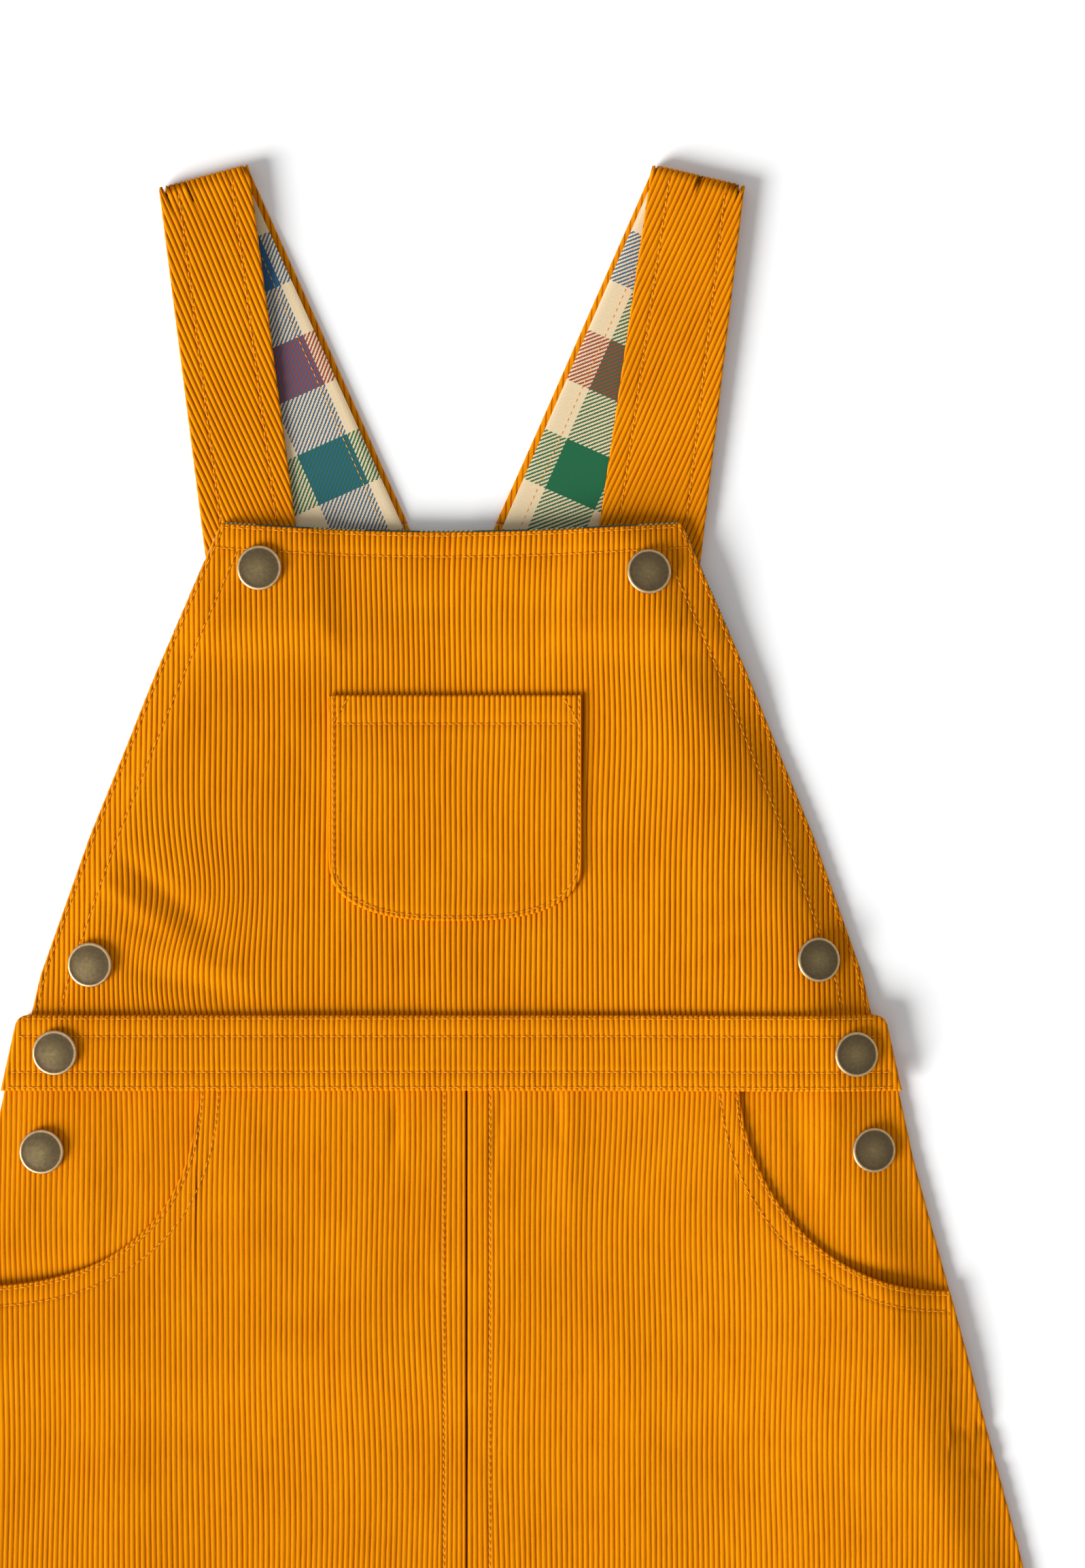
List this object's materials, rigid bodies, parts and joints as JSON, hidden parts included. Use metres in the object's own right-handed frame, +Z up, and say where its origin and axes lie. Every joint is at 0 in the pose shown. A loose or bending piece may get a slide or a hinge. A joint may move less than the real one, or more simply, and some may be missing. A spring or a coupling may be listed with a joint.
{
  "type": "pinafore dress",
  "caption": "Child's corduroy pinafore dress laid flat, with checked lining in its straps, a bib with a patch pocket, a waistband, hip pockets and snap-closed sides.",
  "frame": {"origin": "under the middle of the dress, on the surface that it lies on", "axes": "+X across the dress to the right as seen from above, +Y from the hem to the shoulders, +Z up from the surface, out of the dress's front"},
  "size_m": [0.448, 0.6, 0.0146],
  "materials": {
    "corduroy": "golden mustard cotton corduroy, about 14 wales to the inch, matt nap",
    "lining": "brushed cotton twill in a coloured gingham check on cream",
    "snap": "antique brass, dark brushed face with a bright worn rim"
  },
  "bodies": {
    "root": {"back_skirt": "corduroy", "back_bib": "corduroy", "back_waistband": "corduroy", "front_waistband": "corduroy", "front_bib": "corduroy", "front_bib_lining": "lining", "bib_pocket": "corduroy", "front_skirt_left": "corduroy", "front_skirt_right": "corduroy", "hip_facing_left": "corduroy", "hip_facing_right": "corduroy", "strap_left": "corduroy", "strap_right": "corduroy", "strap_lining_left": "lining", "strap_lining_right": "lining", "snap_bib_left": "snap", "snap_bib_right": "snap", "snap_side_left": "snap", "snap_side_right": "snap", "snap_waist_left": "snap", "snap_waist_right": "snap", "snap_hip_left": "snap", "snap_hip_right": "snap"}
  },
  "joints": []
}
